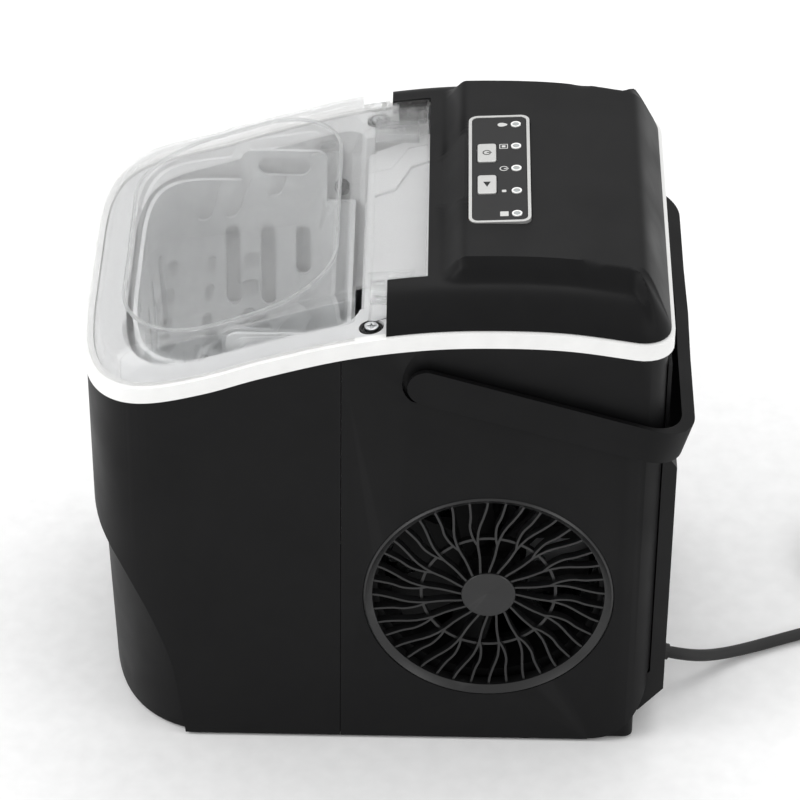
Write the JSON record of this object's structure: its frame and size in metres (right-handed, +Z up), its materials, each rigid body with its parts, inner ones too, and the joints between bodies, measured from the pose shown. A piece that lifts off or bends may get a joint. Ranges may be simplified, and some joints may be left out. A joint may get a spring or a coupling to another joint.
{
  "type": "countertop ice maker",
  "caption": "Countertop bullet-ice maker with a clear lid, a sloping control panel, a side fan grille, a lift-out basket and a folding carry handle.",
  "frame": {"origin": "on the surface it stands on, under the middle of the machine's bounding box, measured without the loose lead", "axes": "+X to the user's right (the fan grille's side), +Y towards the back, +Z up"},
  "size_m": [0.2276, 0.516, 0.2917],
  "materials": {
    "shell": "fine matte",
    "cover": "satin",
    "white": "gloss",
    "liner": "satin",
    "clear": "clear moulded plastic",
    "silver": "silver paint",
    "led": "clear",
    "steel": "plain",
    "copper": "drawn copper",
    "dark": "satin",
    "rubber": "matte",
    "board": "lacquered"
  },
  "bodies": {
    "machine": {"base_tray": "shell", "compressor": "dark", "compressor_mount_front": "rubber", "compressor_mount_rear": "rubber", "condenser": "steel", "control_board": "board", "cord_coil": "rubber", "cord_tie": "dark", "evaporator": "copper", "evaporator_cover": "white", "fan_grille": "shell", "fan_motor": "dark", "fan_shroud": "dark", "flange_screw_left": "steel", "flange_screw_right": "steel", "foot_front_left": "rubber", "foot_front_right": "rubber", "foot_rear_left": "rubber", "foot_rear_right": "rubber", "front_shell": "shell", "handle_pivot_left": "steel", "handle_pivot_right": "steel", "ice_full_sensor_left": "dark", "ice_full_sensor_right": "dark", "indicator_light_1": "led", "indicator_light_2": "led", "indicator_light_3": "led", "indicator_light_4": "led", "indicator_light_5": "led", "inner_bin": "liner", "panel_bezel": "silver", "panel_plate": "dark", "plug": "rubber", "power_cord": "rubber", "rear_cover": "dark", "rear_screw_1": "steel", "rear_screw_2": "steel", "rear_screw_3": "steel", "rear_screw_4": "steel", "rear_shell": "shell", "strain_relief": "rubber", "suction_pipe": "copper", "top_cover": "cover", "tray_bearing": "liner", "tray_motor": "dark", "trim_ring": "white", "water_hose": "clear", "water_pump": "dark"},
    "lid": {"lid": "clear", "lid_pin_left": "clear", "lid_pin_right": "clear"},
    "handle": {"carry_handle": "shell"},
    "power_button": {"power_button": "silver"},
    "select_button": {"select_button": "silver"},
    "fan": {"fan_wheel": "dark"},
    "water_tray": {"water_tray": "liner"},
    "ice_pusher": {"ice_pusher": "white"},
    "ice_basket": {"ice_basket": "white"},
    "drain_plug": {"drain_plug": "dark"}
  },
  "joints": [
    {"name": "lid_hinge", "type": "hinge", "parent": "machine", "child": "lid", "pos_m": [0, 0.01, 0.269], "axis": [-1, 0, 0], "range_deg": [0, 88]},
    {"name": "handle_pivot", "type": "hinge", "parent": "machine", "child": "handle", "pos_m": [0, 0.02, 0.231], "axis": [1, 0, 0], "range_deg": [0, 105]},
    {"name": "power_button_press", "type": "slide", "parent": "machine", "child": "power_button", "axis": [0, 0.0541, -0.9985], "range_m": [0, 0.0006], "stiffness_N_per_m": 900},
    {"name": "select_button_press", "type": "slide", "parent": "machine", "child": "select_button", "axis": [0, 0.0541, -0.9985], "range_m": [0, 0.0006], "stiffness_N_per_m": 900},
    {"name": "fan_spin", "type": "hinge", "parent": "machine", "child": "fan", "pos_m": [0.085, 0.0536, 0.0963], "axis": [1, 0, 0], "continuous": true},
    {"name": "tray_tilt", "type": "hinge", "parent": "machine", "child": "water_tray", "pos_m": [0, 0.03, 0.231], "axis": [1, 0, 0], "range_deg": [0, 45]},
    {"name": "pusher_sweep", "type": "hinge", "parent": "machine", "child": "ice_pusher", "pos_m": [0, 0.03, 0.231], "axis": [-1, 0, 0], "range_deg": [0, 15]},
    {"name": "basket_lift", "type": "slide", "parent": "machine", "child": "ice_basket", "axis": [0, 0, 1], "range_m": [0, 0.003]},
    {"name": "drain_plug_turn", "type": "hinge", "parent": "machine", "child": "drain_plug", "pos_m": [-0.055, -0.095, 0.0058], "axis": [0, 0, -1], "range_deg": [0, 90]}
  ],
  "couplings": [
    {"joint": "pusher_sweep", "follows": "tray_tilt", "ratio": 0.33333}
  ]
}
